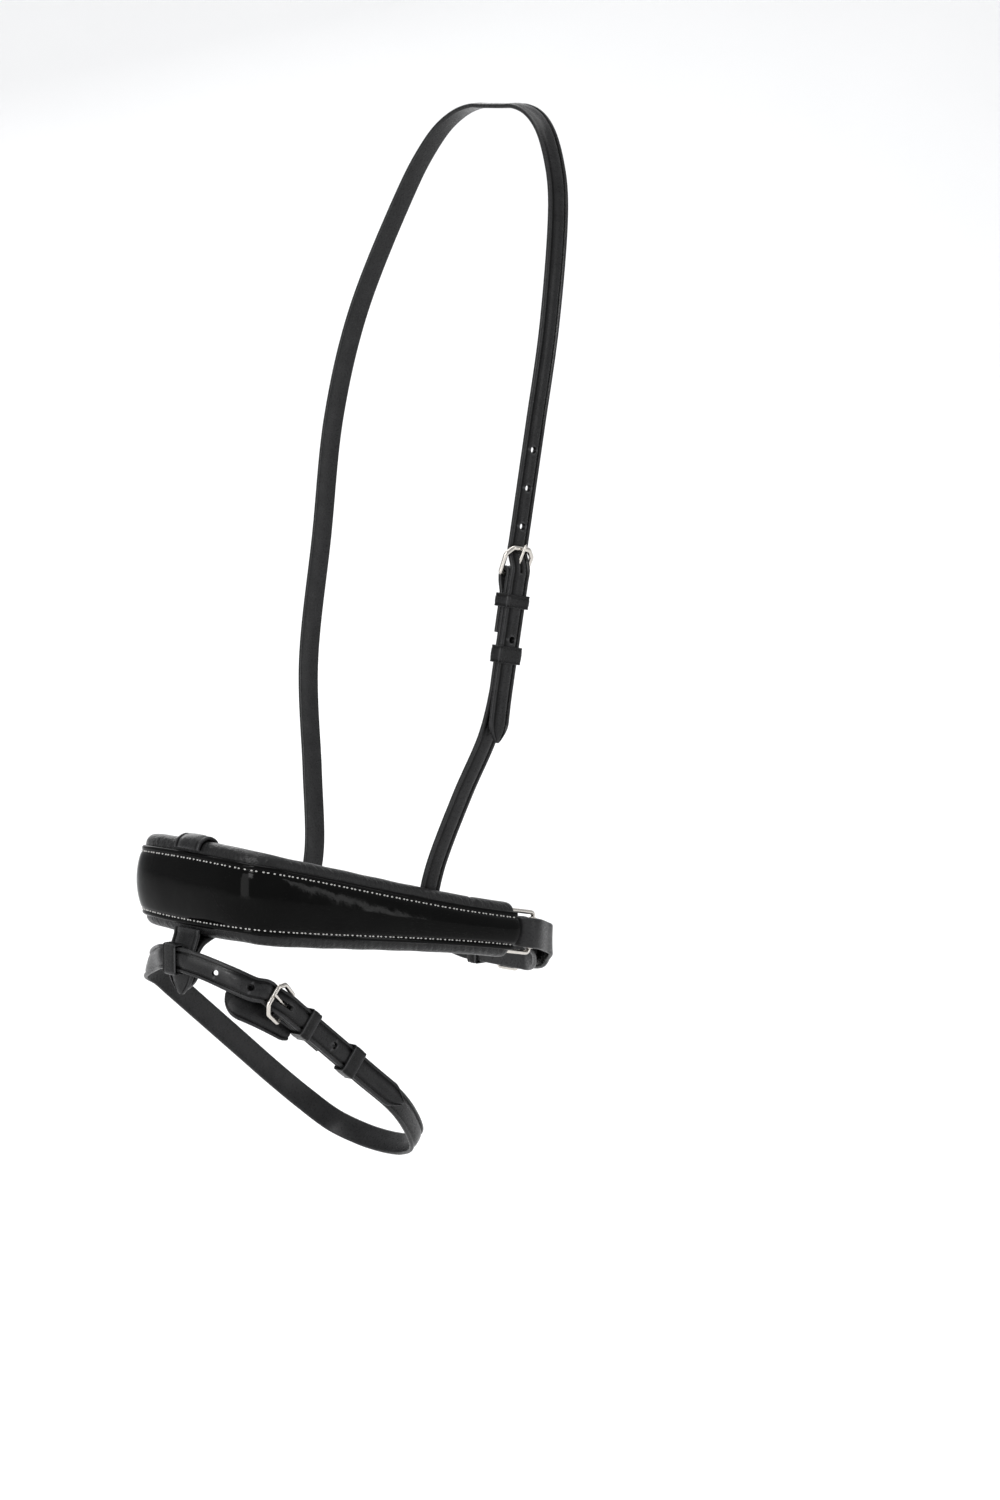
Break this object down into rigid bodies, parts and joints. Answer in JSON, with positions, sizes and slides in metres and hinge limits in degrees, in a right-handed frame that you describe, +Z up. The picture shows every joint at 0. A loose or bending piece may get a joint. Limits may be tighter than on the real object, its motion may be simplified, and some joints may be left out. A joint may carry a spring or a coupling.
{
  "type": "padded crank noseband with flash strap",
  "caption": "Padded patent-leather crank noseband with raised facing, flash strap and sliphead, fastened by roller rings, buckles, keepers and runners.",
  "frame": {"origin": "middle of the flat underside of the sliphead's crown, where it rests on the poll", "axes": "+Z up, the horse faces -X, near (left) side -Y, off side +Y"},
  "size_m": [0.2401, 0.1673, 0.5565],
  "materials": {
    "patent": "black patent leather, mirror gloss",
    "bridle_leather": "black bridle leather, waxed, creased edges",
    "soft_leather": "black soft lining leather, fine wrinkles, padded",
    "foam": "closed-cell padding, hidden",
    "hardware": "polished stainless steel with a warm tint"
  },
  "bodies": {
    "bridle": {"noseband_facing": "patent", "noseband_filler": "foam", "noseband_backing": "bridle_leather", "noseband_pad": "foam", "noseband_lining": "soft_leather", "ring_tab_near": "bridle_leather", "ring_tab_off": "bridle_leather", "cheek_strap_near": "bridle_leather", "cheek_keeper": "bridle_leather", "sliphead": "bridle_leather", "flash_hanger_rear": "bridle_leather", "flash_hanger_front": "bridle_leather", "flash_hanger_loop": "bridle_leather", "crank_strap": "bridle_leather", "crank_chape": "bridle_leather", "crank_keeper": "bridle_leather"},
    "flash": {"flash_strap": "bridle_leather", "flash_keeper": "bridle_leather", "flash_guard": "bridle_leather"},
    "cheek_frame": {"cheek_buckle_frame": "hardware"},
    "cheek_tongue": {"cheek_buckle_tongue": "hardware"},
    "flash_frame": {"flash_buckle_frame": "hardware"},
    "flash_tongue": {"flash_buckle_tongue": "hardware"},
    "crank_frame": {"crank_buckle_frame": "hardware"},
    "crank_tongue": {"crank_buckle_tongue": "hardware"},
    "cheek_loop": {"cheek_runner": "bridle_leather"},
    "flash_loop": {"flash_runner": "bridle_leather"},
    "ring_near": {"ring_near": "hardware"},
    "roller_near": {"ring_roller_near": "hardware"},
    "ring_off": {"ring_off": "hardware"},
    "roller_off": {"ring_roller_off": "hardware"}
  },
  "joints": [
    {"name": "flash_swing", "type": "hinge", "parent": "bridle", "child": "flash", "pos_m": [-0.2244, 0, -0.4323], "axis": [0, 1, 0], "range_deg": [-5, 0]},
    {"name": "cheek_frame_lift", "type": "hinge", "parent": "bridle", "child": "cheek_frame", "pos_m": [-0.0588, -0.0763, -0.23919], "axis": [0.9863, 0, -0.165], "range_deg": [0, 3]},
    {"name": "cheek_tongue_lift", "type": "hinge", "parent": "cheek_frame", "child": "cheek_tongue", "pos_m": [-0.0588, -0.0763, -0.23919], "axis": [0.9863, 0, -0.165], "range_deg": [0, 6]},
    {"name": "flash_frame_lift", "type": "hinge", "parent": "flash", "child": "flash_frame", "pos_m": [-0.188, -0.0458, -0.4568], "axis": [0.6308, 0, 0.776], "range_deg": [0, 3]},
    {"name": "flash_tongue_lift", "type": "hinge", "parent": "flash_frame", "child": "flash_tongue", "pos_m": [-0.188, -0.0458, -0.4568], "axis": [0.6308, 0, 0.776], "range_deg": [0, 6]},
    {"name": "crank_frame_lift", "type": "hinge", "parent": "bridle", "child": "crank_frame", "pos_m": [0.0045, 0.004, -0.4538], "axis": [0, 0, 1], "range_deg": [0, 3]},
    {"name": "crank_tongue_lift", "type": "hinge", "parent": "crank_frame", "child": "crank_tongue", "pos_m": [0.0045, 0.004, -0.4538], "axis": [0, 0, 1], "range_deg": [0, 6]},
    {"name": "cheek_runner_slide", "type": "slide", "parent": "bridle", "child": "cheek_loop", "axis": [0.165, -0.03, 0.9858], "range_m": [-0.008, 0.005]},
    {"name": "flash_runner_slide", "type": "slide", "parent": "flash", "child": "flash_loop", "axis": [-0.7756, 0.03, 0.6305], "range_m": [-0.006, 0.008]},
    {"name": "ring_near_swing", "type": "hinge", "parent": "bridle", "child": "ring_near", "pos_m": [-0.04418, -0.05626, -0.4308], "axis": [0.1956, 0.0101, 0.9806], "range_deg": [-3, 3]},
    {"name": "roller_near_spin", "type": "hinge", "parent": "ring_near", "child": "roller_near", "pos_m": [-0.02655, -0.05534, -0.43433], "axis": [0.1956, 0.0101, 0.9806], "continuous": true},
    {"name": "ring_off_swing", "type": "hinge", "parent": "bridle", "child": "ring_off", "pos_m": [-0.04418, 0.05626, -0.4308], "axis": [-0.1956, 0.0101, -0.9806], "range_deg": [-1.5, 3]},
    {"name": "roller_off_spin", "type": "hinge", "parent": "ring_off", "child": "roller_off", "pos_m": [-0.02655, 0.05534, -0.43433], "axis": [-0.1956, 0.0101, -0.9806], "continuous": true}
  ]
}
